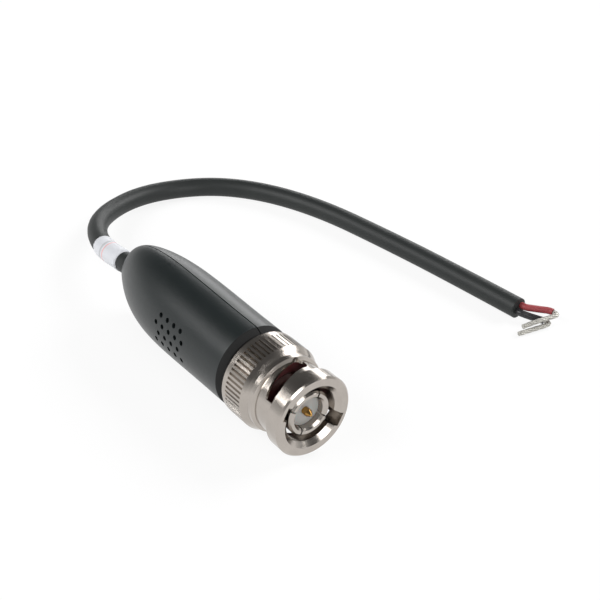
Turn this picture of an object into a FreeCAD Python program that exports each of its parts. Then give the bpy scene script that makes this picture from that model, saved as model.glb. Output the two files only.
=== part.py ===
import FreeCAD, Part
import math
import os
import re

import Sketcher
from FreeCAD import Placement, Rotation, Vector

# Frame: the plug's axis is X, pointing out of the mating face, which is x = 0.
# Z is up. The joint between the housing halves holds the X axis and leans from Z towards +Y
# by seam_roll degrees, as the part lies with its slots level.
# Sizes named "..._at" are distances behind the mating face.

SIZES = {
    # Coupling nut, outside
    "nut_length": 14.75,
    "nut_ring_radius": 7.25,
    "nut_ring_length": 2.8,
    "nut_edge": 0.3,
    "neck_radius": 6.45,
    "neck_end_at": 6.9,
    "neck_step_radius": 7.0,
    "neck_step_length": 1.25,
    "nut_flange_at": 8.65,
    "nut_flange_radius": 7.4,
    "knurl_front_at": 9.3,
    "knurl_length": 3.9,
    "knurl_radius": 7.8,
    "knurl_count": 60,
    "knurl_depth": 0.35,
    "knurl_groove_width": 0.75,
    "nut_rear_radius": 7.35,
    "nut_rear_round": 0.6,
    # Coupling nut, inside
    "nut_bore_radius": 4.85,
    "nut_mouth_chamfer": 0.8,
    "nut_hollow_at": 3.4,
    "nut_hollow_radius": 6.0,
    "nut_shoulder_at": 8.6,
    "counterbore_radius": 6.55,
    "ring_groove_depth": 0.4,
    # Bayonet entry grooves and slots
    "keyway_radius": 6.3,
    "keyway_width": 2.4,
    "slot_width": 2.3,
    "slot_entry_angle": 150,
    "slot_start_at": 4.0,
    "slot_travel": 1.9,
    "slot_turn": 75,
    "slot_seat_radius": 1.25,
    # Turned plug body
    "contact_tip_at": 0.95,
    "contact_radius": 4.05,
    "contact_bore_radius": 2.8,
    "contact_rim_round": 0.35,
    "slit_width": 0.3,
    "slit_length": 4.6,
    "slit_angle": 60,
    "nut_face_clearance": 0.05,
    "nut_running_clearance": 0.05,
    "body_flange_length": 1.95,
    "barrel_radius": 5.0,
    "collar_length": 1.2,
    "tail_radius": 3.6,
    "tail_length": 3.2,
    # Insulator, pin and seal
    "insulator_face_at": 2.3,
    "insulator_clearance": 0.04,
    "insulator_rear_gap": 0.6,
    "pin_radius": 0.67,
    "pin_tip_at": 0.65,
    "pin_tip_radius": 0.25,
    "pin_taper": 0.7,
    "pin_tail": 3.2,
    "pin_clearance": 0.03,
    "gasket_thickness": 1.3,
    "gasket_clearance": 0.05,
    # Spring stack in the nut
    "spring_height": 1.0,
    "spring_sheet": 0.25,
    "spring_waves": 3,
    "stack_inner_clearance": 0.15,
    "stack_outer_clearance": 0.12,
    "stack_gap": 0.05,
    "thrust_washer_thickness": 0.4,
    "retaining_ring_thickness": 0.65,
    "retaining_ring_inner_radius": 5.4,
    "retaining_ring_gap": 1.6,
    # Housing, outside
    "housing_front_at": 15.2,
    "housing_rim_at": 16.6,
    "housing_end_at": 54.2,
    "bevel_half_width": 6.9,
    "bevel_half_height": 7.05,
    "rim_half_width": 7.4,
    "rim_half_height": 7.65,
    "widest_at": 32,
    "widest_half_width": 7.45,
    "tallest_at": 39.5,
    "tallest_half_height": 8.05,
    "end_half_width": 2.9,
    "end_half_height": 2.95,
    "plan_taper_power": 2.45,
    "side_nose_power": 2.08,
    "side_nose_root": 0.4,
    "section_power": 2.05,
    "seam_roll": 8,
    # Housing, inside
    "housing_wall": 1.5,
    "front_wall": 4.3,
    "cavity_end_at": 48.9,
    "barrel_clearance": 0.04,
    "cable_hole_clearance": 0.1,
    "seam_groove_width": 0.2,
    "seam_groove_depth": 0.35,
    "boss_radius": 1.5,
    "boss_height": 5.3,
    "front_boss_at": 23.2,
    "rear_boss_at": 44.6,
    "peg_radius": 0.8,
    "peg_length": 1.5,
    "peg_clearance": 0.1,
    # Grip dimples on the left half
    "dimple_radius": 0.45,
    "dimple_depth": 0.6,
    "dimple_pitch": 2.0,
    "dimple_columns": 5,
    "dimple_rows": 4,
    "dimple_centre_at": 31,
    # Circuit board and what it carries
    "board_front_at": 24.9,
    "board_length": 17.4,
    "board_half_height": 4.3,
    "board_thickness": 1.0,
    "solder_gap": 0.05,
    "core_centre_at": 34.6,
    "core_radius": 3.5,
    "core_hole_radius": 1.75,
    "core_height": 2.5,
    "winding_thickness": 0.3,
    "winding_fit": 0.02,
    "winding_arc": 140,
    "capacitor_at": 28.0,
    "capacitor_length": 1.9,
    "capacitor_width": 2.4,
    "capacitor_height": 1.5,
    "surge_tube_at": 27.4,
    "surge_tube_length": 3.0,
    "surge_tube_radius": 0.9,
    "part_row_offset": 2.9,
    # Cable
    "cable_radius": 2.0,
    "label_radius": 2.2,
    "label_fit": 0.02,
    "label_start_at": 57.3,
    "label_length": 10.2,
    "tie_width": 2.4,
    "tie_thickness": 0.7,
    "tie_fit": 0.03,
    "tie_head": 2.6,
    "wire_radius": 0.65,
    "wire_spacing": 1.9,
    "lead_length": 5.5,
    "strand_radius": 0.46,
}

# The cable's route, chosen by hand: out of the housing, round one wide bend, down to the
# surface that the housing lies on and back beside the plug.
CABLE_START = Vector(-45, 0, 0)
CABLE_ROUTE = [
    CABLE_START,
    Vector(-56.9, 0, 0),
    Vector(-67.1, 0.2, -1.6),
    Vector(-76.8, 3.9, -3.0),
    Vector(-83.3, 10.7, -4.5),
    Vector(-86.3, 19.7, -5.3),
    Vector(-85.2, 29.0, -6.04),
    Vector(-80.1, 37.2, -6.04),
    Vector(-71.0, 43.8, -6.04),
    Vector(-58.2, 48.4, -6.04),
    Vector(-42.3, 50.8, -6.04),
    Vector(-25.6, 52.8, -6.04),
    Vector(-7.6, 54.3, -6.04),
]
# The two insulated ends leave the cable's cut face square to it. Each one's bare strands go on
# from its end and fold back, and the red one's strands pass over the black one's.
RED_ROUTE = [
    Vector(-7.64, 55.1, -5.69),
    Vector(-6.64, 55.18, -5.69),
    Vector(-5.3, 56.5, -5.85),
    Vector(-3.6, 58.2, -6.0),
    Vector(-2.75, 58.45, -6.0),
]
RED_STRAND_ROUTE = [
    Vector(-2.72, 58.46, -6.0),
    Vector(-2.0, 58.67, -6.0),
    Vector(-1.46, 58.11, -5.97),
    Vector(-1.95, 56.4, -6.0),
    Vector(-2.5, 54.2, -6.1),
    Vector(-3.4, 51.2, -6.6),
]
BLACK_ROUTE = [
    Vector(-7.54, 53.95, -6.5),
    Vector(-6.54, 54.04, -6.5),
    Vector(-5.2, 55.1, -6.95),
    Vector(-3.0, 56.55, -7.3),
]
BLACK_STRAND_ROUTE = [
    Vector(-2.97, 56.57, -7.31),
    Vector(-2.36, 56.97, -7.38),
    Vector(-1.69, 56.58, -7.42),
    Vector(-2.4, 53.3, -7.46),
    Vector(-3.1, 50.0, -7.5),
]

ARC_SHARE = 0.45
SECTION_POINTS = 24
BODY_SECTIONS = 12
WAVE_POINTS = 8
PAST = 1.0

doc = FreeCAD.newDocument("VideoBalun")
sheet = doc.addObject("Spreadsheet::Sheet", "Sizes")
for row, (alias, value) in enumerate(SIZES.items(), start=1):
    sheet.set(f"A{row}", alias)
    sheet.set(f"B{row}", str(value))
    sheet.setAlias(f"B{row}", alias)
doc.recompute()

nodes = []


def mm(alias):
    """Read one size from the sheet."""
    return float(sheet.get(alias))


def bound(expression):
    """Point every size name in an expression at the sheet."""
    return re.sub(r"[a-z]\w+", lambda found: "Sizes." + found.group(), expression)


def node(item, label):
    """Name a finished piece and keep it for export."""
    item.Label = label
    nodes.append(item)
    return item


# Helpers for bodies and sketches


def new_body(name):
    return doc.addObject("PartDesign::Body", name)


def sketch_on(body, role, name):
    """An empty sketch on one of the body's own origin planes."""
    plane = next(item for item in body.Origin.OriginFeatures if item.Role == role)
    sketch = body.newObject("Sketcher::SketchObject", name)
    sketch.AttachmentSupport = [(plane, "")]
    sketch.MapMode = "FlatFace"
    return sketch


def draw_outline(sketch, corners):
    """Draw a closed outline whose corners are held by two size expressions each."""
    count = len(corners)
    spots = [
        Vector(math.cos(2 * math.pi * i / count), math.sin(2 * math.pi * i / count), 0)
        for i in range(count)
    ]
    for i in range(count):
        sketch.addGeometry(Part.LineSegment(spots[i], spots[(i + 1) % count]), False)
    for i in range(count):
        sketch.addConstraint(Sketcher.Constraint("Coincident", i, 2, (i + 1) % count, 1))
    for i, (across, up) in enumerate(corners):
        for kind, spot, expression in (
            ("DistanceX", spots[i].x, across),
            ("DistanceY", spots[i].y, up),
        ):
            index = sketch.addConstraint(Sketcher.Constraint(kind, -1, 1, i, 1, spot))
            sketch.setExpression(f"Constraints[{index}]", bound(expression))


def turned(name, corners):
    """A body turned about the plug's axis from an outline of (x, radius) corners."""
    body = new_body(name)
    sketch = sketch_on(body, "XY_Plane", name + "Outline")
    draw_outline(sketch, corners)
    turning = body.newObject("PartDesign::Revolution", name + "Turning")
    turning.Profile = sketch
    turning.ReferenceAxis = (sketch, ["H_Axis"])
    turning.Angle = 360
    return body


def box_outline(low_x, high_x, low_y, high_y):
    return [(low_x, low_y), (high_x, low_y), (high_x, high_y), (low_x, high_y)]


def cut_through(body, role, name, corners, turn):
    """Cut an outline right through the body, both ways from its plane turned about the axis."""
    sketch = sketch_on(body, role, name + "Outline")
    sketch.AttachmentOffset = Placement(Vector(), Rotation(Vector(1, 0, 0), turn))
    draw_outline(sketch, corners)
    cut = body.newObject("PartDesign::Pocket", name)
    cut.Profile = sketch
    cut.Midplane = True
    cut.setExpression("Length", bound("4 * knurl_radius"))
    return cut


def solid_feature(name, shape):
    feature = doc.addObject("Part::Feature", name)
    feature.Shape = shape
    return feature


# Turned plug body with its spring fingers

BARREL_TOP = "barrel_radius"
BODY_FLANGE_FRONT = "-(nut_shoulder_at + nut_face_clearance)"
BODY_FLANGE_REAR = f"{BODY_FLANGE_FRONT} - body_flange_length"
COLLAR_FRONT = "-(housing_front_at + front_wall + barrel_clearance)"
COLLAR_REAR = f"{COLLAR_FRONT} - collar_length"
COLLAR_TOP = "rim_half_width - housing_wall - 2 * barrel_clearance"
TAIL_END = f"{COLLAR_REAR} - tail_length"
BODY_FLANGE_TOP = "counterbore_radius - nut_running_clearance"

plug_body = turned(
    "PlugBody",
    [
        ("-contact_tip_at", "contact_bore_radius + contact_rim_round"),
        ("-contact_tip_at", "contact_radius - contact_rim_round"),
        ("-(contact_tip_at + contact_rim_round)", "contact_radius"),
        (BODY_FLANGE_FRONT, "contact_radius"),
        (BODY_FLANGE_FRONT, BODY_FLANGE_TOP),
        (BODY_FLANGE_REAR, BODY_FLANGE_TOP),
        (BODY_FLANGE_REAR, BARREL_TOP),
        (COLLAR_FRONT, BARREL_TOP),
        (COLLAR_FRONT, COLLAR_TOP),
        (COLLAR_REAR, COLLAR_TOP),
        (COLLAR_REAR, "tail_radius"),
        (TAIL_END, "tail_radius"),
        (TAIL_END, "contact_bore_radius"),
        ("-(contact_tip_at + contact_rim_round)", "contact_bore_radius"),
    ],
)
SLIT_END = "-(contact_tip_at + slit_length)"
SLIT = box_outline(SLIT_END, "nut_edge", "-slit_width / 2", "slit_width / 2")
cut_through(plug_body, "XY_Plane", "UprightSlits", SLIT, mm("slit_angle"))
cut_through(plug_body, "XZ_Plane", "LevelSlits", SLIT, mm("slit_angle"))
node(plug_body, "plug_body")

# Insulator and centre pin

INSULATOR_END = f"{TAIL_END} + insulator_rear_gap"
PIN_END = f"{TAIL_END} - pin_tail"
insulator = turned(
    "Insulator",
    box_outline(
        INSULATOR_END,
        "-insulator_face_at",
        "pin_radius + pin_clearance",
        "contact_bore_radius - insulator_clearance",
    ),
)
node(insulator, "insulator")

centre_pin = turned(
    "CentrePin",
    [
        (PIN_END, "0"),
        ("-pin_tip_at", "0"),
        ("-pin_tip_at", "pin_tip_radius"),
        ("-(pin_tip_at + pin_taper)", "pin_radius"),
        (PIN_END, "pin_radius"),
    ],
)
node(centre_pin, "centre_pin")

gasket = turned(
    "Gasket",
    box_outline(
        "-nut_shoulder_at",
        "-(nut_shoulder_at - gasket_thickness)",
        "contact_radius + gasket_clearance",
        "nut_hollow_radius - gasket_clearance",
    ),
)
node(gasket, "gasket")

# Spring washer, thrust washer and retaining ring

SPRING_FRONT = f"{BODY_FLANGE_REAR} - stack_gap"
WASHER_FRONT = f"{SPRING_FRONT} - spring_height - stack_gap"
WASHER_REAR = f"{WASHER_FRONT} - thrust_washer_thickness"
RING_FRONT = f"{WASHER_REAR} - stack_gap"
RING_REAR = f"{RING_FRONT} - retaining_ring_thickness"

thrust_washer = turned(
    "ThrustWasher",
    box_outline(
        WASHER_REAR,
        WASHER_FRONT,
        "barrel_radius + stack_inner_clearance",
        "counterbore_radius - stack_outer_clearance",
    ),
)
node(thrust_washer, "thrust_washer")

retaining_ring = turned(
    "RetainingRing",
    box_outline(
        RING_REAR,
        RING_FRONT,
        "retaining_ring_inner_radius",
        "counterbore_radius + ring_groove_depth - nut_running_clearance",
    ),
)
ring_gap = sketch_on(retaining_ring, "XZ_Plane", "RingGapOutline")
draw_outline(
    ring_gap,
    box_outline(
        f"{RING_REAR} - nut_edge",
        f"{RING_FRONT} + nut_edge",
        "-retaining_ring_gap / 2",
        "retaining_ring_gap / 2",
    ),
)
ring_opening = retaining_ring.newObject("PartDesign::Pocket", "RingGap")
ring_opening.Profile = ring_gap
ring_opening.setExpression("Length", bound("2 * counterbore_radius"))
node(retaining_ring, "retaining_ring")


def spring_edge(radius, middle):
    """One wavy edge of the spring washer."""
    height = (mm("spring_height") - mm("spring_sheet")) / 2
    waves = int(mm("spring_waves"))
    count = waves * WAVE_POINTS
    points = []
    for i in range(count):
        turn = 2 * math.pi * i / count
        lift = height * math.cos(waves * turn)
        points.append(Vector(middle + lift, radius * math.cos(turn), radius * math.sin(turn)))
    curve = Part.BSplineCurve()
    curve.interpolate(Points=points, PeriodicFlag=True)
    return curve.toShape()


def spring_shape():
    flange_rear = mm("nut_shoulder_at") + mm("nut_face_clearance") + mm("body_flange_length")
    front = -(flange_rear + mm("stack_gap"))
    middle = front - mm("spring_height") / 2 - mm("spring_sheet") / 2
    inner = spring_edge(mm("barrel_radius") + mm("stack_inner_clearance"), middle)
    outer = spring_edge(mm("counterbore_radius") - mm("stack_outer_clearance"), middle)
    sheet_face = Part.makeRuledSurface(inner, outer)
    return sheet_face.extrude(Vector(mm("spring_sheet"), 0, 0))


node(solid_feature("SpringWasher", spring_shape()), "spring_washer")

# Coupling nut: turned blank, knurl, then the bayonet grooves and slots

nut_blank = turned(
    "NutBlank",
    [
        ("0", "nut_bore_radius + nut_mouth_chamfer"),
        ("-nut_mouth_chamfer", "nut_bore_radius"),
        ("-nut_hollow_at", "nut_bore_radius"),
        ("-nut_hollow_at", "nut_hollow_radius"),
        ("-nut_shoulder_at", "nut_hollow_radius"),
        ("-nut_shoulder_at", "counterbore_radius"),
        (f"{RING_FRONT} + stack_gap / 2", "counterbore_radius"),
        (f"{RING_FRONT} + stack_gap / 2", "counterbore_radius + ring_groove_depth"),
        (f"{RING_REAR} - stack_gap / 2", "counterbore_radius + ring_groove_depth"),
        (f"{RING_REAR} - stack_gap / 2", "counterbore_radius"),
        ("-nut_length", "counterbore_radius"),
        ("-nut_length", "nut_rear_radius"),
        ("-nut_length + nut_rear_round", "knurl_radius"),
        ("-knurl_front_at", "knurl_radius"),
        ("-nut_flange_at", "nut_flange_radius"),
        ("-(neck_end_at + neck_step_length)", "neck_step_radius"),
        ("-neck_end_at - nut_edge", "neck_step_radius"),
        ("-neck_end_at", "neck_radius"),
        ("-nut_ring_length", "neck_radius"),
        ("-nut_ring_length", "nut_ring_radius"),
        ("-nut_edge", "nut_ring_radius"),
        ("0", "nut_ring_radius - nut_edge"),
    ],
)
groove_sketch = sketch_on(nut_blank, "YZ_Plane", "KnurlGrooveOutline")
groove_sketch.setExpression("AttachmentOffset.Base.z", bound("-knurl_front_at"))
draw_outline(
    groove_sketch,
    [
        ("-knurl_groove_width / 2", "knurl_radius + nut_edge"),
        ("0", "knurl_radius - knurl_depth"),
        ("knurl_groove_width / 2", "knurl_radius + nut_edge"),
    ],
)
groove = nut_blank.newObject("PartDesign::Pocket", "KnurlGroove")
groove.Profile = groove_sketch
groove.setExpression("Length", bound("knurl_length"))
knurl = nut_blank.newObject("PartDesign::PolarPattern", "Knurl")
knurl.Originals = [groove]
knurl.Axis = (groove_sketch, ["N_Axis"])
knurl.Angle = 360
knurl.setExpression("Occurrences", bound("knurl_count"))
nut_blank.Tip = knurl


def twice_round(shape):
    """Two copies half a turn apart, moved from the top to the entry grooves' angle."""
    copies = []
    for half_turn in (0, 180):
        copy = shape.copy()
        copy.rotate(Vector(), Vector(1, 0, 0), mm("slot_entry_angle") - 90 + half_turn)
        copies.append(copy)
    return Part.makeCompound(copies)


def entry_groove():
    """The straight groove inside the front ring, with its entry at the top."""
    length = mm("slot_start_at") + PAST
    width = mm("keyway_width")
    foot = mm("contact_radius")
    corner = Vector(-mm("slot_start_at"), -width / 2, foot)
    return Part.makeBox(length, width, mm("keyway_radius") - foot, corner)


def helical_slot():
    """The slot through the neck, which climbs away from the groove as it turns."""
    inner = mm("contact_radius")
    outer = mm("knurl_radius")
    half = mm("slot_width") / 2
    travel = mm("slot_travel")
    helix = Part.makeHelix(travel * 360 / mm("slot_turn"), travel, (inner + outer) / 2)
    corners = [
        Vector(inner, 0, -half),
        Vector(outer, 0, -half),
        Vector(outer, 0, half),
        Vector(inner, 0, half),
    ]
    profile = Part.makePolygon(corners + corners[:1])
    slot = Part.Wire(helix.Edges).makePipeShell([profile], True, True)
    # The helix climbs up Z from the X side: lay it down so that it runs back from the top.
    slot.rotate(Vector(), Vector(0, 1, 0), -90)
    slot.translate(Vector(-mm("slot_start_at"), 0, 0))
    return slot


def slot_end():
    """The round seat at the slot's far end, where a lug comes to rest."""
    end_at = mm("slot_start_at") + mm("slot_travel")
    start = Vector(-end_at, 0, mm("contact_radius"))
    seat = Part.makeCylinder(mm("slot_seat_radius"), mm("knurl_radius"), start, Vector(0, 0, 1))
    seat.rotate(Vector(), Vector(1, 0, 0), -mm("slot_turn"))
    return seat


coupling_nut = nut_blank
for name, shape in (
    ("EntryGrooves", entry_groove()),
    ("HelicalSlots", helical_slot()),
    ("SlotSeats", slot_end()),
):
    cut = doc.addObject("Part::Cut", "NutWithout" + name)
    cut.Base = coupling_nut
    cut.Tool = solid_feature(name, twice_round(shape))
    coupling_nut = cut
node(coupling_nut, "coupling_nut")

# Housing halves


def plan_half_width(at):
    """Half width seen from above: almost straight, then a long taper to the cable."""
    widest = mm("widest_half_width")
    if at < mm("widest_at"):
        share = (mm("widest_at") - at) / (mm("widest_at") - mm("housing_rim_at"))
        return widest + (mm("rim_half_width") - widest) * share**2
    share = (at - mm("widest_at")) / (mm("housing_end_at") - mm("widest_at"))
    return widest - (widest - mm("end_half_width")) * share ** mm("plan_taper_power")


def side_half_height(at):
    """Half height seen from the side: a gentle swell, then a rounded nose."""
    tallest = mm("tallest_half_height")
    if at < mm("tallest_at"):
        share = (mm("tallest_at") - at) / (mm("tallest_at") - mm("housing_rim_at"))
        swell = (1 - math.cos(math.pi * share)) / 2
        return tallest + (mm("rim_half_height") - tallest) * swell
    share = (at - mm("tallest_at")) / (mm("housing_end_at") - mm("tallest_at"))
    nose = max(0.0, 1 - share ** mm("side_nose_power")) ** mm("side_nose_root")
    return mm("end_half_height") + (tallest - mm("end_half_height")) * nose


def oval(at, half_width, half_height):
    """A soft, slightly squared oval across the plug's axis."""
    power = 2 / mm("section_power")
    points = []
    for i in range(SECTION_POINTS):
        turn = 2 * math.pi * (i + 0.5) / SECTION_POINTS
        across = math.copysign(abs(math.cos(turn)) ** power, math.cos(turn))
        up = math.copysign(abs(math.sin(turn)) ** power, math.sin(turn))
        points.append(Vector(-at, half_width * across, half_height * up))
    curve = Part.BSplineCurve()
    curve.interpolate(Points=points, PeriodicFlag=True)
    return Part.Wire(curve.toShape())


def housing_form(start_at, end_at, inset):
    """The housing's outer form between two stations, drawn in by an even inset."""
    sections = []
    for i in range(BODY_SECTIONS):
        # Stations crowd together towards the rounded rear end.
        share = math.sin(math.pi / 2 * i / (BODY_SECTIONS - 1))
        at = start_at + (end_at - start_at) * share
        half_width = plan_half_width(at) - inset
        half_height = side_half_height(at) - inset
        sections.append(oval(at, half_width, half_height))
    return Part.makeLoft(sections, True, False)


def bevel_form():
    """The short bevelled nose between the nut and the housing's front rim."""
    front = oval(mm("housing_front_at"), mm("bevel_half_width"), mm("bevel_half_height"))
    rim = oval(mm("housing_rim_at"), mm("rim_half_width"), mm("rim_half_height"))
    return Part.makeLoft([front, rim], True, True)


def along_axis(radius, start_at, end_at):
    """A round bar on the plug's axis."""
    return Part.makeCylinder(radius, end_at - start_at, Vector(-end_at, 0, 0), Vector(1, 0, 0))


def dimples():
    """Staggered rows of small round dimples for the left half's side."""
    columns = int(mm("dimple_columns"))
    rows = int(mm("dimple_rows"))
    pitch = mm("dimple_pitch")
    row_step = pitch * math.sqrt(3) / 2
    reach = mm("tallest_half_height")
    bars = []
    for row in range(rows):
        shift = pitch / 2 if row % 2 else 0
        for column in range(columns - row % 2):
            at = mm("dimple_centre_at") - pitch * (columns - 1) / 2 + column * pitch + shift
            up = (row - (rows - 1) / 2) * row_step
            spot = Vector(-at, 0, up)
            bars.append(Part.makeCylinder(mm("dimple_radius"), reach, spot, Vector(0, -1, 0)))
    floor = housing_form(mm("housing_rim_at"), mm("housing_end_at"), mm("dimple_depth"))
    return [bar.cut(floor) for bar in bars]


def seam_groove():
    """The fine groove that runs round the joint between the halves."""
    reach = mm("housing_end_at") + PAST
    tall = mm("tallest_half_height") + PAST
    width = mm("seam_groove_width")
    blade = Part.makeBox(reach, width, 2 * tall, Vector(-reach, -width / 2, -tall))
    depth = mm("seam_groove_depth")
    core = housing_form(mm("housing_rim_at"), mm("housing_end_at"), depth)
    keep = along_axis(mm("bevel_half_width") - depth, 0, mm("housing_rim_at"))
    return blade.cut(core).cut(keep)


def boss_spots():
    for at in (mm("front_boss_at"), mm("rear_boss_at")):
        for side in (-1, 1):
            yield Vector(-at, 0, side * mm("boss_height"))


def housing_half(side):
    """One moulded half: side is -1 for the left and 1 for the right."""
    rim_at = mm("housing_rim_at")
    end_at = mm("housing_end_at")
    outer = housing_form(rim_at, end_at, 0).fuse(bevel_form())
    cavity_at = mm("housing_front_at") + mm("front_wall")
    cavity = housing_form(rim_at, end_at, mm("housing_wall"))
    window_length = mm("cavity_end_at") - cavity_at
    reach = 2 * mm("tallest_half_height")
    window = Part.makeBox(
        window_length, 2 * reach, 2 * reach, Vector(-mm("cavity_end_at"), -reach, -reach)
    )
    cavity = cavity.common(window)
    for spot in boss_spots():
        boss = Part.makeCylinder(mm("boss_radius"), reach, spot, Vector(0, side, 0))
        cavity = cavity.cut(boss)
    shell = outer.cut(cavity)
    barrel_hole = along_axis(mm("barrel_radius") + mm("barrel_clearance"), 0, cavity_at + PAST)
    cable_hole = along_axis(
        mm("cable_radius") + mm("cable_hole_clearance"), mm("cavity_end_at") - PAST, end_at + PAST
    )
    keep = Part.makeBox(
        end_at + PAST, reach, 2 * reach, Vector(-end_at - PAST, 0 if side > 0 else -reach, -reach)
    )
    half = shell.cut([barrel_hole, cable_hole, seam_groove()]).common(keep)
    if side < 0:
        half = half.cut(dimples())
    for spot in boss_spots():
        if side < 0:
            start = spot - Vector(0, PAST, 0)
            peg_length = mm("peg_length") + PAST
            half = half.fuse(Part.makeCylinder(mm("peg_radius"), peg_length, start, Vector(0, 1, 0)))
        else:
            socket_radius = mm("peg_radius") + mm("peg_clearance")
            socket_length = mm("peg_length") + mm("peg_clearance")
            half = half.cut(Part.makeCylinder(socket_radius, socket_length, spot, Vector(0, 1, 0)))
    half.rotate(Vector(), Vector(1, 0, 0), -mm("seam_roll"))
    return half


node(solid_feature("HousingLeft", housing_half(-1)), "housing_left")
node(solid_feature("HousingRight", housing_half(1)), "housing_right")

# Circuit board and what it carries. The board lies beside the pin, parallel to the seam.

BOARD_TOP = "-(pin_radius + solder_gap)"
PARTS_FOOT = f"{BOARD_TOP} + solder_gap"


def bound_box(name, low_x, low_y, low_z, length, width, height):
    """A rectangular block whose place and size are size expressions."""
    block = doc.addObject("Part::Box", name)
    for field, expression in (
        ("Placement.Base.x", low_x),
        ("Placement.Base.y", low_y),
        ("Placement.Base.z", low_z),
        ("Length", length),
        ("Width", width),
        ("Height", height),
    ):
        block.setExpression(field, bound(expression))
    return block


board = bound_box(
    "CircuitBoard",
    "-(board_front_at + board_length)",
    f"{BOARD_TOP} - board_thickness",
    "-board_half_height",
    "board_length",
    "board_thickness",
    "2 * board_half_height",
)
node(board, "circuit_board")

capacitor = bound_box(
    "Capacitor",
    "-(capacitor_at + capacitor_length)",
    PARTS_FOOT,
    "part_row_offset - capacitor_width / 2",
    "capacitor_length",
    "capacitor_height",
    "capacitor_width",
)
node(capacitor, "capacitor")

surge_tube = doc.addObject("Part::Cylinder", "SurgeTube")
surge_tube.Placement = Placement(Vector(), Rotation(Vector(0, 1, 0), 90))
surge_tube.setExpression("Radius", bound("surge_tube_radius"))
surge_tube.setExpression("Height", bound("surge_tube_length"))
surge_tube.setExpression("Placement.Base.x", bound("-(surge_tube_at + surge_tube_length)"))
surge_tube.setExpression("Placement.Base.y", bound(f"{PARTS_FOOT} + surge_tube_radius"))
surge_tube.setExpression("Placement.Base.z", bound("-part_row_offset"))
node(surge_tube, "surge_tube")


def ring_section(hole_radius, outer_radius, low, high):
    """A rectangle beside the core's own upright axis, ready to be turned."""
    spots = [
        Vector(hole_radius, low, 0),
        Vector(outer_radius, low, 0),
        Vector(outer_radius, high, 0),
        Vector(hole_radius, high, 0),
    ]
    return Part.Face(Part.makePolygon(spots + spots[:1]))


def core_placement():
    foot = -mm("pin_radius") + mm("winding_thickness") + mm("winding_fit")
    return Placement(Vector(-mm("core_centre_at"), foot, 0), Rotation())


def core_shape():
    section = ring_section(mm("core_hole_radius"), mm("core_radius"), 0, mm("core_height"))
    return section.revolve(Vector(), Vector(0, 1, 0), 360)


def winding_shape(start_angle):
    """One closely wound sector, as the sleeve of wire round that stretch of the core."""
    fit = mm("winding_fit")
    thick = mm("winding_thickness")
    hole = mm("core_hole_radius")
    outer = mm("core_radius")
    height = mm("core_height")
    sleeve = ring_section(
        hole - fit - thick, outer + fit + thick, -fit - thick, height + fit + thick
    ).cut(ring_section(hole - fit, outer + fit, -fit, height + fit))
    winding = sleeve.revolve(Vector(), Vector(0, 1, 0), mm("winding_arc"))
    winding.rotate(Vector(), Vector(0, 1, 0), start_angle - mm("winding_arc") / 2)
    return winding


for name, label, shape in (
    ("Core", "transformer_core", core_shape()),
    ("PrimaryWinding", "primary_winding", winding_shape(90)),
    ("SecondaryWinding", "secondary_winding", winding_shape(270)),
):
    piece = solid_feature(name, shape.Solids[0])
    piece.Placement = core_placement().multiply(piece.Placement)
    node(piece, label)

# Cable, wires and what is on them


def rounded_path(route):
    """Straight runs joined by tangent arcs, as large as the shorter run allows."""
    edges = []
    radii = []
    start = route[0]
    for before, corner, after in zip(route, route[1:], route[2:]):
        back = (before - corner).normalize()
        on = (after - corner).normalize()
        run = min((before - corner).Length, (after - corner).Length)
        trim = ARC_SHARE * run
        half_turn = (math.pi - back.getAngle(on)) / 2
        radius = trim / math.tan(half_turn)
        radii.append(radius)
        first = corner + back * trim
        last = corner + on * trim
        bisector = (back + on).normalize()
        centre_distance = math.hypot(radius, trim)
        middle = corner + bisector * (centre_distance - radius)
        edges.append(Part.LineSegment(start, first).toShape())
        edges.append(Part.Arc(first, middle, last).toShape())
        start = last
    edges.append(Part.LineSegment(start, route[-1]).toShape())
    return Part.Wire(edges), radii


def tube(route, radius):
    """A round solid along a route."""
    path, _ = rounded_path(route)
    profile = Part.Wire(Part.makeCircle(radius, route[0], route[1] - route[0]))
    return path.makePipeShell([profile], True, False)


def print_route(name, route, radius):
    """Report the bends of a route and compare its volume with section times length."""
    path, radii = rounded_path(route)
    expected = math.pi * radius**2 * path.Length
    made = tube(route, radius).Volume
    bends = ", ".join(f"{bend:.1f}" for bend in radii)
    print(f"{name}: length {path.Length:.1f} mm, volume {made / expected:.4f} of expected")
    print(f"{name}: bend radii {bends} mm")


cable_radius = mm("cable_radius")
node(solid_feature("Cable", tube(CABLE_ROUTE, cable_radius)), "cable")
print_route("cable", CABLE_ROUTE, cable_radius)

label_end = mm("label_start_at") + mm("label_length")
label_window = Part.makeBox(
    mm("label_length"),
    4 * mm("label_radius"),
    4 * mm("label_radius"),
    Vector(-label_end, -2 * mm("label_radius"), -2 * mm("label_radius")),
)
label_shape = tube(CABLE_ROUTE[:6], mm("label_radius"))
label_shape = label_shape.cut(tube(CABLE_ROUTE[:6], cable_radius + mm("label_fit")))
node(solid_feature("LabelSleeve", label_shape.common(label_window).Solids[0]), "label_sleeve")


def cable_tie_shape():
    """The tie that stops the cable from being pulled out, against the rear wall."""
    tie_end = mm("cavity_end_at") - mm("stack_gap")
    tie_start = tie_end - mm("tie_width")
    inner = cable_radius + mm("tie_fit")
    outer = inner + mm("tie_thickness")
    head_side = mm("tie_head")
    head = Part.makeBox(
        mm("tie_width"), head_side, head_side, Vector(-tie_end, -head_side / 2, inner)
    )
    band = along_axis(outer, tie_start, tie_end).fuse(head)
    return band.cut(along_axis(inner, tie_start - PAST, tie_end + PAST)).removeSplitter()


node(solid_feature("CableTie", cable_tie_shape()), "cable_tie")

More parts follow.
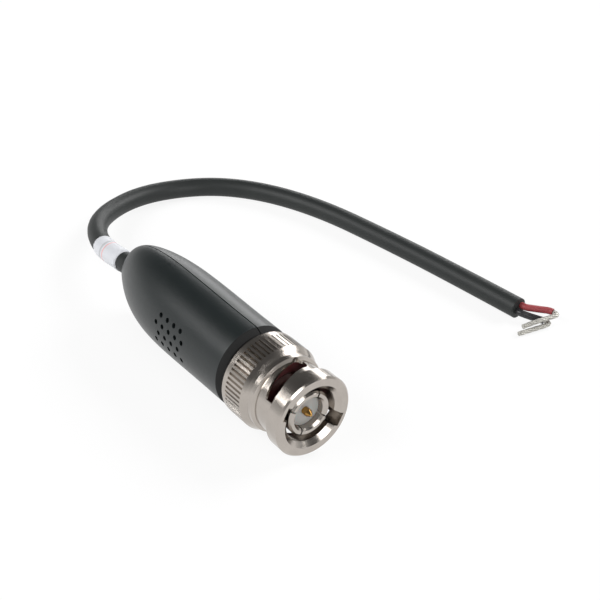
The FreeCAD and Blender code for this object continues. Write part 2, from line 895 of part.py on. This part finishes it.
# Wires that leave the cable's inner end and lie on the board
for name, label, side in (("RedLead", "red_lead", 1), ("BlackLead", "black_lead", -1)):
    lead = doc.addObject("Part::Cylinder", name)
    lead.Placement = Placement(CABLE_START, Rotation(Vector(0, 1, 0), 90))
    lead.setExpression("Radius", bound("wire_radius"))
    lead.setExpression("Height", bound("lead_length"))
    lead.setExpression("Placement.Base.z", bound(f"{side} * wire_spacing / 2"))
    node(lead, label)

for name, label, route, alias in (
    ("RedWire", "red_wire", RED_ROUTE, "wire_radius"),
    ("RedStrand", "red_wire_strands", RED_STRAND_ROUTE, "strand_radius"),
    ("BlackWire", "black_wire", BLACK_ROUTE, "wire_radius"),
    ("BlackStrand", "black_wire_strands", BLACK_STRAND_ROUTE, "strand_radius"),
):
    node(solid_feature(name, tube(route, mm(alias))), label)

# Check every object, then write one file for each piece

doc.recompute()
failed = [item for item in doc.Objects if "Invalid" in item.State or "Error" in item.State]
if failed:
    reasons = [f"{item.Label}: {item.getStatusString()}" for item in failed]
    raise RuntimeError("; ".join(reasons))
for piece in nodes:
    if piece.Shape.isNull() or not piece.Shape.isValid():
        raise RuntimeError(f"{piece.Label} has no valid shape")

os.makedirs("parts", exist_ok=True)
for piece in nodes:
    piece.Shape.exportStep(os.path.join("parts", piece.Label + ".step"))
    print(f"{piece.Label}: {len(piece.Shape.Solids)} solid, {piece.Shape.Volume:.1f} mm3")
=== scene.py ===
# %% [markdown]
# This lesson dresses a small video balun: a moulded black housing with a bayonet plug in front
# and a short lead at the back. The shapes that carry load come from CAD as a fixed frame.
# Blender adds the finishes, the lead with its label and wires, the floor, light and camera.

# %% Load the frame
import math

import bpy
from mathutils import Euler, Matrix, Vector


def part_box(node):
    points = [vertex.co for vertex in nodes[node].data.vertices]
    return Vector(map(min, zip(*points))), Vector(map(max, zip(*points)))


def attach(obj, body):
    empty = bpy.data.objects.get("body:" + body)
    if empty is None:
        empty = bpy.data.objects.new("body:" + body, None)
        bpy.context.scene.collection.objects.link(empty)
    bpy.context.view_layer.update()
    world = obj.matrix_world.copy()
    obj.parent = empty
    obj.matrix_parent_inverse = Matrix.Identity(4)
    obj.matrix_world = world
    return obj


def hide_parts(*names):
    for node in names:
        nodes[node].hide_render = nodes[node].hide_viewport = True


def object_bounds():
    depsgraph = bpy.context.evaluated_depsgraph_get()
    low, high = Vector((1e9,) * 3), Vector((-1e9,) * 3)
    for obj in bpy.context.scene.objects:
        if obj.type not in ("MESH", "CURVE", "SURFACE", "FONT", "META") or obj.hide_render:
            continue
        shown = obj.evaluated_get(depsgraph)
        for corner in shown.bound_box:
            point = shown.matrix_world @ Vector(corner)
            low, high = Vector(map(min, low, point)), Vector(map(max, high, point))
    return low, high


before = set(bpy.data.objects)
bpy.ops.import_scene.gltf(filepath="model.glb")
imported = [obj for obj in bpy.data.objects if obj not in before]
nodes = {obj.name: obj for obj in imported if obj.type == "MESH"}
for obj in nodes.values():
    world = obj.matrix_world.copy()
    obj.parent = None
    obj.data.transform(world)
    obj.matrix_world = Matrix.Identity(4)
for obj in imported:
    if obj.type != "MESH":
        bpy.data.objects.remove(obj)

cad_low, cad_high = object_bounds()
MM = 0.001
print(f"frame: {len(nodes)} nodes, lowest point {cad_low.z / MM:.2f} mm")

# %% [markdown]
# The camera comes first, because everything else is judged through it. It was worked out from
# the round edges of the plug: a 72 mm lens about 19 cm away, looking down by a third of a
# right angle and along the plug towards the housing.

# %% Camera
CAMERA_PLACE = Vector((114.2, -90.04, 120.76)) * MM
CAMERA_TURN = math.radians(52.6)
CAMERA_DIP = math.radians(34.12)
SENSOR_WIDTH = 36
LENS = 72


def make_camera():
    data = bpy.data.cameras.new("studio_camera")
    data.sensor_width = SENSOR_WIDTH
    data.lens = LENS
    data.clip_start = 0.01
    data.clip_end = 20
    camera = bpy.data.objects.new("studio_camera", data)
    bpy.context.collection.objects.link(camera)
    camera.location = CAMERA_PLACE
    camera.rotation_euler = Euler((math.pi / 2 - CAMERA_DIP, 0, CAMERA_TURN))
    bpy.context.scene.camera = camera
    return camera


camera = make_camera()
bpy.context.scene.view_settings.view_transform = "Standard"
print("camera at", [round(value / MM, 1) for value in camera.location], "mm")

# %% [markdown]
# The lead is a 4 mm round cable. It leaves the housing straight, turns round in one wide bend,
# drops to the table and comes back beside the plug. A NURBS curve is the natural tool: a few
# control points give one smooth line, and a bevel gives it its thickness. The order is set
# after the points are added, because a curve with too few points refuses it. A curve's bounds
# count the radius kept at each point, so that radius carries the thickness and the bevel is 1.

# %% The lead's line
LEAD_ROUTE = [
    (-45, 0, 0),
    (-56.9, 0, 0),
    (-67.1, 0.2, -1.6),
    (-76.8, 3.9, -3),
    (-83.3, 10.7, -4.5),
    (-86.3, 19.7, -5.3),
    (-85.2, 29, -6.04),
    (-80.1, 37.2, -6.04),
    (-71, 43.8, -6.04),
    (-58.2, 48.4, -6.04),
    (-42.3, 50.8, -6.04),
    (-25.6, 52.8, -6.04),
    (-7.6, 54.3, -6.04),
]
LEAD_RADIUS = 2.0 * MM


def nurbs_line(name, route, radius):
    curve = bpy.data.curves.new(name, "CURVE")
    curve.dimensions = "3D"
    curve.resolution_u = 12
    spline = curve.splines.new("NURBS")
    spline.points.add(len(route) - 1)
    for point, place in zip(spline.points, route):
        point.co = (*(value * MM for value in place), 1)
        point.radius = radius
    spline.order_u = 3
    spline.use_endpoint_u = True
    curve.bevel_depth = 1.0 if radius else 0.0
    curve.bevel_resolution = 8
    curve.use_fill_caps = True
    line = bpy.data.objects.new(name, curve)
    bpy.context.collection.objects.link(line)
    return line


jacket = nurbs_line("lead_jacket", LEAD_ROUTE, LEAD_RADIUS)
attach(jacket, "balun")
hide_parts("cable")
print("lead: one NURBS line with", len(LEAD_ROUTE), "control points")

# %% [markdown]
# Whatever sits on the lead has to follow its line exactly. A curve with no bevel turns into a
# bare chain of points, and these can be read back, thinned and measured. A tube round such a
# chain needs a direction across it at each point that never flips, so each ring's direction
# is carried on from the one before.

# %% Read a line and wrap tubes round it


def line_points(name, route):
    """Points along the smooth line that a route gives."""
    bare = nurbs_line(name, route, 0)
    bare.data.use_fill_caps = False
    bpy.context.view_layer.update()
    graph = bpy.context.evaluated_depsgraph_get()
    mesh = bpy.data.meshes.new_from_object(bare.evaluated_get(graph))
    points = [vertex.co.copy() for vertex in mesh.vertices]
    bpy.data.objects.remove(bare)
    bpy.data.meshes.remove(mesh)
    return points


def frames_along(points):
    """Each point with its direction and two directions across it."""
    across = Vector((0, 0, 1))
    made = []
    for index, point in enumerate(points):
        before = points[max(index - 1, 0)]
        after = points[min(index + 1, len(points) - 1)]
        along = (after - before).normalized()
        across = (across - along * across.dot(along)).normalized()
        made.append((point, along, across, along.cross(across)))
    return made


def mesh_piece(name, rings, closed_ends=True):
    """A smooth mesh skinned over rings that all have the same number of points."""
    count = len(rings[0])
    points = [point for ring in rings for point in ring]
    faces = []
    for row in range(len(rings) - 1):
        for column in range(count):
            beside = (column + 1) % count
            low, high = row * count, (row + 1) * count
            faces.append((low + column, low + beside, high + beside, high + column))
    if closed_ends:
        last = (len(rings) - 1) * count
        faces.append(tuple(reversed(range(count))))
        faces.append(tuple(range(last, last + count)))
    mesh = bpy.data.meshes.new(name)
    mesh.from_pydata(points, [], faces)
    mesh.shade_smooth()
    piece = bpy.data.objects.new(name, mesh)
    bpy.context.collection.objects.link(piece)
    return piece


def beside_line(frame_at, radius, turn):
    """The point at a distance from a line, at an angle round it."""
    point, along, across, up = frame_at
    return point + (across * math.cos(turn) + up * math.sin(turn)) * radius


def ring_round(frame_at, radius, steps):
    """A ring of points across a line."""
    turns = [2 * math.pi * step / steps for step in range(steps)]
    return [beside_line(frame_at, radius, turn) for turn in turns]


lead_frames = frames_along(line_points("lead_line", LEAD_ROUTE))
print("lead line:", len(lead_frames), "points")

# %% [markdown]
# The label is a strip of white film wrapped once round the lead, a hair thicker than the
# jacket under it. It follows the lead's own line, and its ends are small steps, so that the
# light catches the film's edge. The lead comes back past the same place further out, so the
# label's box picks its stretch by both x and y.

# %% Label
label_low, label_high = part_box("label_sleeve")
LABEL_FILM = 0.15 * MM
LABEL_EDGE = 0.04 * MM
LABEL_STEPS = 48


def make_label():
    """The film's outer face, with an end that steps down to the jacket at each side."""
    outer = LEAD_RADIUS + LABEL_FILM
    edge = outer - LABEL_EDGE
    sunk = LEAD_RADIUS - LABEL_EDGE
    beside = [at for at in lead_frames if at[0].y < label_high.y]
    spots = [at for at in beside if label_low.x <= at[0].x <= label_high.x]
    steps = [(spots[0], sunk), (spots[0], edge)]
    steps += [(at, outer) for at in spots[1:-1]]
    steps += [(spots[-1], edge), (spots[-1], sunk)]
    rings = [ring_round(at, radius, LABEL_STEPS) for at, radius in steps]
    return mesh_piece("label_wrap", rings, closed_ends=False)


label = make_label()
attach(label, "balun")
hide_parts("label_sleeve")
print(f"label: {(label_high.x - label_low.x) / MM:.1f} mm long")

# %% [markdown]
# The bare ends are seven tinned strands twisted together and folded back. Seven thin tubes
# that wind round one shared line show the twist when light grazes them, which one thick tube
# with a striped surface would not.

# %% Bare strands
RED_STRANDS = [
    (-2.72, 58.46, -6),
    (-2, 58.67, -6),
    (-1.46, 58.11, -5.97),
    (-1.95, 56.4, -6),
    (-2.5, 54.2, -6.1),
    (-3.4, 51.2, -6.6),
]
BLACK_STRANDS = [
    (-2.97, 56.57, -7.31),
    (-2.36, 56.97, -7.38),
    (-1.69, 56.58, -7.42),
    (-2.4, 53.3, -7.46),
    (-3.1, 50, -7.5),
]
STRAND_RADIUS = 0.155 * MM
STRAND_STEPS = 10
STRANDS_AROUND = 6
STRAND_OFFSET = 1.9 * STRAND_RADIUS
TWIST_PITCH = 9 * MM


def strand_rings(line, radius, turn_offset):
    """Rings of one thin wire that winds round a line, or follows it when radius is zero."""
    travelled = 0.0
    before = line[0][0]
    rings = []
    for at in line:
        point, *directions = at
        travelled += (point - before).length
        before = point
        turn = turn_offset + 2 * math.pi * travelled / TWIST_PITCH
        centre = beside_line(at, radius, turn)
        rings.append(ring_round((centre, *directions), STRAND_RADIUS, STRAND_STEPS))
    return rings


def strand_bundle(name, route):
    """Seven strands joined in one mesh, since they are soldered together."""
    line = frames_along(line_points(name + "_line", route))
    wires = [mesh_piece(name, strand_rings(line, 0, 0))]
    for number in range(STRANDS_AROUND):
        turn = 2 * math.pi * number / STRANDS_AROUND
        wires.append(mesh_piece(name, strand_rings(line, STRAND_OFFSET, turn)))
    with bpy.context.temp_override(active_object=wires[0], selected_editable_objects=wires):
        bpy.ops.object.join()
    return wires[0]


bundles = {}
for node_name, route in (("red_wire_strands", RED_STRANDS), ("black_wire_strands", BLACK_STRANDS)):
    bundle = strand_bundle("tinned_" + node_name, route)
    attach(bundle, "balun")
    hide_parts(node_name)
    bundles[node_name] = bundle
print("strands:", [len(bundle.data.polygons) for bundle in bundles.values()], "faces")

# %% [markdown]
# Finishes are node materials. Written with plain operators they read like the sums they are,
# so one small class wraps a socket and turns +, -, * and comparisons into Math nodes. Every
# other node comes from one method that sets its settings first and then its inputs.

# %% A small language for finishes


class Signal:
    """A value that varies over a surface."""

    def __init__(self, finish, socket):
        self.finish = finish
        self.socket = socket

    def math(self, operation, first, second):
        settings = {"operation": operation}
        return self.finish.node("Math", settings, {0: first, 1: second})

    def __add__(self, other):
        return self.math("ADD", self, other)

    __radd__ = __add__

    def __sub__(self, other):
        return self.math("SUBTRACT", self, other)

    def __mul__(self, other):
        return self.math("MULTIPLY", self, other)

    def __pow__(self, other):
        return self.math("POWER", self, other)

    def __lt__(self, other):
        return self.math("LESS_THAN", self, other)

    def __gt__(self, other):
        return self.math("GREATER_THAN", self, other)


class Finish:
    """A material under construction, with its shader's fixed values set by name."""

    def __init__(self, name, **fixed):
        self.material = bpy.data.materials.new(name)
        self.material.use_nodes = True
        self.tree = self.material.node_tree
        self.shader = self.tree.nodes["Principled BSDF"]
        for socket, value in fixed.items():
            self.shader.inputs[socket.replace("_", " ")].default_value = value

    def node(self, kind, settings=None, inputs=None, output=0):
        made = self.tree.nodes.new("ShaderNode" + kind)
        for name, value in (settings or {}).items():
            setattr(made, name, value)
        for name, value in (inputs or {}).items():
            self.feed(made.inputs[name], value)
        return Signal(self, made.outputs[output])

    def feed(self, socket, value):
        if isinstance(value, Signal):
            self.tree.links.new(value.socket, socket)
        else:
            socket.default_value = value

    def drive(self, **varying):
        for name, value in varying.items():
            self.feed(self.shader.inputs[name.replace("_", " ")], value)

    def place(self):
        """The point on the piece, in metres in the object's own frame."""
        return self.node("TexCoord", output="Object")

    def axes(self):
        """That point's three coordinates, of which x runs along the plug."""
        split = self.node("SeparateXYZ", {}, {0: self.place()})
        return [Signal(self, socket) for socket in split.socket.node.outputs]

    def noise(self, size, detail=3.0, stretch=(1, 1, 1)):
        """Noise whose features are about size metres across."""
        vector = self.node("Mapping", {}, {"Vector": self.place(), "Scale": stretch})
        inputs = {"Vector": vector, "Scale": 1 / size, "Detail": detail}
        return self.node("TexNoise", {}, inputs)

    def mix(self, amount, first, second):
        """A colour between two, each of them fixed or varying, by an amount that may vary."""
        ends = [end if isinstance(end, Signal) else (*end, 1) for end in (first, second)]
        inputs = {"Factor": amount, 6: ends[0], 7: ends[1]}
        settings = {"data_type": "RGBA"}
        return self.node("Mix", settings, inputs, output=2)

    def bump(self, height, distance, strength=1.0):
        """Surface relief: height from 0 to 1 stands for distance metres."""
        inputs = {"Height": height, "Distance": distance, "Strength": strength}
        return self.node("Bump", {}, inputs)


print("finishes: ready to mix")

# %% [markdown]
# The housing is moulded in black plastic with a fine spark-eroded texture. The eye reads it
# from the broad, soft highlight and a grain just at the limit of sight, so the relief is
# small and the roughness high, with a slow drift that keeps large areas from looking dead.
# The bevel in front of the housing's rim is rougher, and its near-black colour is painted
# shade: it faces forward into the nut's shadow. It is told apart by the place along the
# plug's axis alone.

# %% Moulded black plastic
RIM_AT = -16.55 * MM
# Painted shade: the near-black colour of the bevel stands in for the nut's shadow on it.
BEVEL_PAINTED_SHADE = (0.002, 0.002, 0.002)


def moulded_plastic(name, dark, pale, roughness):
    finish = Finish(name, Specular_IOR_Level=0.45)
    drift = finish.noise(9 * MM)
    grain = finish.noise(0.28 * MM, detail=2)
    along = finish.axes()[0]
    bevel = along > RIM_AT
    skin = finish.mix(drift * 0.6 + grain * 0.4, dark, pale)
    finish.drive(
        # The bevel is mixed to near black as painted shade, and made rougher for real.
        Base_Color=finish.mix(bevel, skin, BEVEL_PAINTED_SHADE),
        Roughness=roughness + (grain - 0.5) * 0.12 + bevel * 0.5,
        Normal=finish.bump(grain, 0.02 * MM, 0.6),
    )
    return finish.material


housing_finish = moulded_plastic(
    "housing_black", (0.005, 0.008, 0.0085), (0.011, 0.015, 0.0155), 0.36
)
print(f"housing: {housing_finish.name}, darker in front of x = {RIM_AT / MM:.2f} mm")

# %% [markdown]
# The plug is turned brass with bright nickel plate. A lathe leaves rings: relief that changes
# with the distance from the axis and along it, and hardly at all round it. Noise read at
# (x, distance from the axis) has just that shape.

# %% Plated and turned metal


def turned_metal(name, dark, pale, roughness, ring_size=0.3 * MM, relief=0.0012 * MM):
    finish = Finish(name, Metallic=1.0)
    along, side, up = finish.axes()
    off_axis = (side * side + up * up) ** 0.5
    lathe_place = finish.node("CombineXYZ", {}, {0: along, 1: off_axis, 2: 0.0})
    inputs = {"Vector": lathe_place, "Scale": 1 / ring_size, "Detail": 2.0}
    rings = finish.node("TexNoise", {}, inputs)
    clouds = finish.noise(2.5 * MM)
    finish.drive(
        Base_Color=finish.mix(clouds, dark, pale),
        Roughness=roughness + (clouds - 0.5) * 0.1 + (rings - 0.5) * 0.08,
        Normal=finish.bump(rings, relief, 0.5),
    )
    return finish.material


nickel = turned_metal("bright_nickel", (0.4, 0.365, 0.33), (0.5, 0.46, 0.42), 0.2)
gold = turned_metal("gold_plate", (0.42, 0.23, 0.065), (0.52, 0.31, 0.1), 0.26)
spring_steel = turned_metal("spring_steel", (0.48, 0.48, 0.48), (0.58, 0.58, 0.58), 0.3)
print("metals:", [metal.name for metal in (nickel, gold, spring_steel)])

# %% [markdown]
# The insulator is a milky plastic: light goes a little way in and comes out softened. A touch
# of subsurface scattering does that, and a slow colour drift keeps it from looking painted.

# %% Plastics, rubber and film


def soft_plastic(name, dark, pale, roughness, grain_size, relief, **fixed):
    finish = Finish(name, **fixed)
    drift = finish.noise(3 * MM)
    grain = finish.noise(grain_size)
    finish.drive(
        Base_Color=finish.mix(drift, dark, pale),
        Roughness=roughness + (grain - 0.5) * 0.15,
        Normal=finish.bump(grain, relief, 0.5),
    )
    return finish.material


insulator_white = soft_plastic(
    "milky_insulator", (0.29, 0.285, 0.27), (0.37, 0.36, 0.345), 0.35, 0.5 * MM, 0.01 * MM,
    Subsurface_Weight=0.25, Subsurface_Scale=0.001,
)
gasket_red = soft_plastic(
    "gasket_silicone", (0.05, 0.005, 0.006), (0.08, 0.009, 0.011), 0.5, 0.3 * MM, 0.01 * MM
)
nylon = soft_plastic(
    "natural_nylon", (0.7, 0.69, 0.64), (0.78, 0.77, 0.73), 0.45, 0.6 * MM, 0.02 * MM
)
red_insulation = soft_plastic(
    "red_insulation", (0.22, 0.028, 0.034), (0.3, 0.042, 0.048), 0.55, 0.5 * MM, 0.02 * MM
)
black_insulation = soft_plastic(
    "black_insulation", (0.012, 0.012, 0.014), (0.022, 0.022, 0.024), 0.4, 0.5 * MM, 0.02 * MM
)
tinned = soft_plastic(
    "tinned_copper", (0.4, 0.39, 0.36), (0.5, 0.49, 0.45), 0.45, 0.3 * MM, 0.01 * MM, Metallic=0.7
)
soft_finishes = (insulator_white, gasket_red, nylon, red_insulation, black_insulation, tinned)
print("soft finishes:", [soft.name for soft in soft_finishes])

# %% [markdown]
# The jacket is extruded PVC. It is smoother than the housing but never quite even, and dust
# greys it here and there, so it gets two sizes of relief and a little drift in colour.

# %% Lead jacket


def jacket_finish():
    finish = Finish("lead_jacket", Specular_IOR_Level=0.35)
    dust = finish.noise(5 * MM)
    waves = finish.noise(3.2 * MM, detail=1)
    grain = finish.noise(0.35 * MM)
    amount = dust * 0.7 + grain * 0.3
    finish.drive(
        Base_Color=finish.mix(amount, (0.01, 0.012, 0.012), (0.02, 0.023, 0.022)),
        Roughness=0.52 + (grain - 0.5) * 0.15,
        Normal=finish.bump(waves * 0.8 + grain * 0.2, 0.08 * MM, 0.5),
    )
    return finish.material


jacket_black = jacket_finish()
print("jacket:", jacket_black.name)

# %% [markdown]
# The label's stripes run round the lead, so they only depend on the place along it. Two
# windows on that distance, each the product of two comparisons, pick out a broad grey band and
# a fine red one.

# %% Label film
STRIPES = {
    "grey": (-64.7, -64.1, (0.4, 0.41, 0.42)),
    "red": (-63.6, -63.25, (0.72, 0.32, 0.32)),
}
INK_COVER = 0.8


def label_finish():
    finish = Finish("label_film", Specular_IOR_Level=0.4)
    along = finish.axes()[0]
    fibres = finish.noise(0.4 * MM)
    colour = finish.mix(fibres, (0.56, 0.57, 0.6), (0.63, 0.64, 0.67))
    for low, high, ink in STRIPES.values():
        window = (along > low * MM) * (along < high * MM)
        colour = finish.mix(window * INK_COVER, colour, ink)
    finish.drive(
        Base_Color=colour,
        Roughness=0.45 + fibres * 0.1,
        Normal=finish.bump(fibres, 0.01 * MM, 0.4),
    )
    return finish.material


label_white = label_finish()
print("label:", label_white.name, "with stripes in", list(STRIPES))

# %% [markdown]
# The parts inside are never seen in use, but they are finished too: green solder mask, grey
# ferrite, copper windings and glazed ceramic.

# %% Parts inside the housing
board_green = soft_plastic(
    "solder_mask", (0.012, 0.1, 0.045), (0.02, 0.16, 0.07), 0.3, 0.4 * MM, 0.01 * MM
)
ferrite = soft_plastic(
    "grey_ferrite", (0.05, 0.05, 0.054), (0.1, 0.1, 0.105), 0.7, 0.15 * MM, 0.03 * MM
)
ceramic = soft_plastic(
    "glazed_ceramic", (0.52, 0.41, 0.25), (0.66, 0.54, 0.35), 0.25, 0.5 * MM, 0.005 * MM
)
copper = turned_metal(
    "enamelled_copper", (0.45, 0.16, 0.05), (0.62, 0.26, 0.1), 0.3, 0.3 * MM, 0.05 * MM
)
print("inside:", [inner.name for inner in (board_green, ferrite, ceramic, copper)])

# %% [markdown]
# One table says which piece gets which finish. The nut and the plug's body also get crisp
# edges: where two faces meet at more than 20 degrees, the shading breaks as the metal does.

# %% Hand out the finishes
FINISHES = {
    "coupling_nut": nickel,
    "plug_body": nickel,
    "insulator": insulator_white,
    "centre_pin": gold,
    "gasket": gasket_red,
    "spring_washer": spring_steel,
    "thrust_washer": spring_steel,
    "retaining_ring": spring_steel,
    "housing_left": housing_finish,
    "housing_right": housing_finish,
    "circuit_board": board_green,
    "capacitor": ceramic,
    "surge_tube": ceramic,
    "transformer_core": ferrite,
    "primary_winding": copper,
    "secondary_winding": copper,
    "cable_tie": nylon,
    "red_lead": red_insulation,
    "black_lead": black_insulation,
    "red_wire": red_insulation,
    "black_wire": black_insulation,
}
CRISP_PIECES = ("coupling_nut", "plug_body")
CRISP_ANGLE = math.radians(20)


def paint(piece, material):
    piece.data.materials.clear()
    piece.data.materials.append(material)


def sharpen(piece):
    """Smooth the curved faces and keep the turned edges and knurl crisp."""
    with bpy.context.temp_override(object=piece, active_object=piece):
        bpy.ops.mesh.customdata_custom_splitnormals_clear()
    piece.data.shade_smooth()
    piece.data.set_sharp_from_angle(angle=CRISP_ANGLE)


for node_name, material in FINISHES.items():
    paint(nodes[node_name], material)
for node_name in CRISP_PIECES:
    sharpen(nodes[node_name])
paint(jacket, jacket_black)
paint(label, label_white)
for bundle in bundles.values():
    paint(bundle, tinned)
print("finishes:", len(bpy.data.materials), "materials")

# %% [markdown]
# The floor is a plain pale sheet at the height of the lowest point. It keeps the object's soft
# shadow, and it looks white to the camera and in reflections, because part of its colour is
# light of its own for those rays alone.

# %% Floor
FLOOR_SIZE = 3.0
FLOOR_GLOW = 0.86
FLOOR_GREY = (0.85, 0.85, 0.85, 1)


def floor_finish():
    finish = Finish("studio_floor", Roughness=0.9, Base_Color=FLOOR_GREY)
    rays = finish.node("LightPath")
    camera_ray = Signal(finish, rays.socket.node.outputs["Is Camera Ray"])
    glossy_ray = Signal(finish, rays.socket.node.outputs["Is Glossy Ray"])
    glass_ray = Signal(finish, rays.socket.node.outputs["Is Transmission Ray"])
    seen = camera_ray + glossy_ray + glass_ray
    glow = finish.node("Emission", {}, {"Color": (1, 1, 1, 1), "Strength": 1.0})
    surface = Signal(finish, finish.shader.outputs[0])
    blend = finish.node("MixShader", {}, {0: seen * FLOOR_GLOW, 1: surface, 2: glow})
    finish.feed(finish.tree.nodes["Material Output"].inputs["Surface"], blend)
    return finish.material


def make_floor():
    half = FLOOR_SIZE / 2
    corners = [(-half, -half, 0), (half, -half, 0), (half, half, 0), (-half, half, 0)]
    mesh = bpy.data.meshes.new("studio_floor")
    mesh.from_pydata(corners, [], [(0, 1, 2, 3)])
    floor = bpy.data.objects.new("studio_floor", mesh)
    bpy.context.collection.objects.link(floor)
    floor.location.z = cad_low.z
    return floor


floor = make_floor()
paint(floor, floor_finish())
print(f"floor: {FLOOR_SIZE:.0f} m square at z = {floor.location.z / MM:.2f} mm")

# %% [markdown]
# Light makes metal look like metal. Large soft boxes give bright panels to reflect, and the
# room between them is darker, so that the plug gets clear bright and dark bands. Two boxes
# stand behind, a high one and a low one, and put the grey sheen on the housing's far shoulder.

# %% Lights and room


def soft_box(name, place, aim, size, power):
    data = bpy.data.lights.new(name, "AREA")
    data.shape = "RECTANGLE"
    data.size, data.size_y = size
    data.energy = power
    lamp = bpy.data.objects.new(name, data)
    bpy.context.collection.objects.link(lamp)
    lamp.location = place
    lamp.rotation_euler = (Vector(aim) - Vector(place)).to_track_quat("-Z", "Y").to_euler()


HOUSING_MIDDLE = (-0.03, 0.01, 0)
soft_box("high_left_box", (-0.25, -0.55, 0.5), HOUSING_MIDDLE, (0.5, 0.4), 5)
soft_box("back_right_box", (0.1, 0.7, 0.5), HOUSING_MIDDLE, (0.6, 0.35), 6.5)
soft_box("low_back_box", (-0.45, 0.5, 0.16), HOUSING_MIDDLE, (0.5, 0.2), 1.2)
soft_box("front_box", (0.6, -0.1, 0.35), HOUSING_MIDDLE, (0.35, 0.35), 2.2)


ROOM_STOPS = ((0.05, 0.75), (0.45, 0.1))


def room_light():
    """A room that is pale below and grey above, told by the height of the direction."""
    world = bpy.data.worlds.new("studio_room")
    world.use_nodes = True
    tree = world.node_tree
    background = tree.nodes["Background"]
    direction = tree.nodes.new("ShaderNodeTexCoord")
    split = tree.nodes.new("ShaderNodeSeparateXYZ")
    ramp = tree.nodes.new("ShaderNodeValToRGB")
    for stop, (place, grey) in zip(ramp.color_ramp.elements, ROOM_STOPS):
        stop.position = place
        stop.color = (grey, grey, grey, 1)
    tree.links.new(direction.outputs["Generated"], split.inputs[0])
    tree.links.new(split.outputs["Z"], ramp.inputs[0])
    tree.links.new(ramp.outputs[0], background.inputs["Color"])
    bpy.context.scene.world = world


room_light()
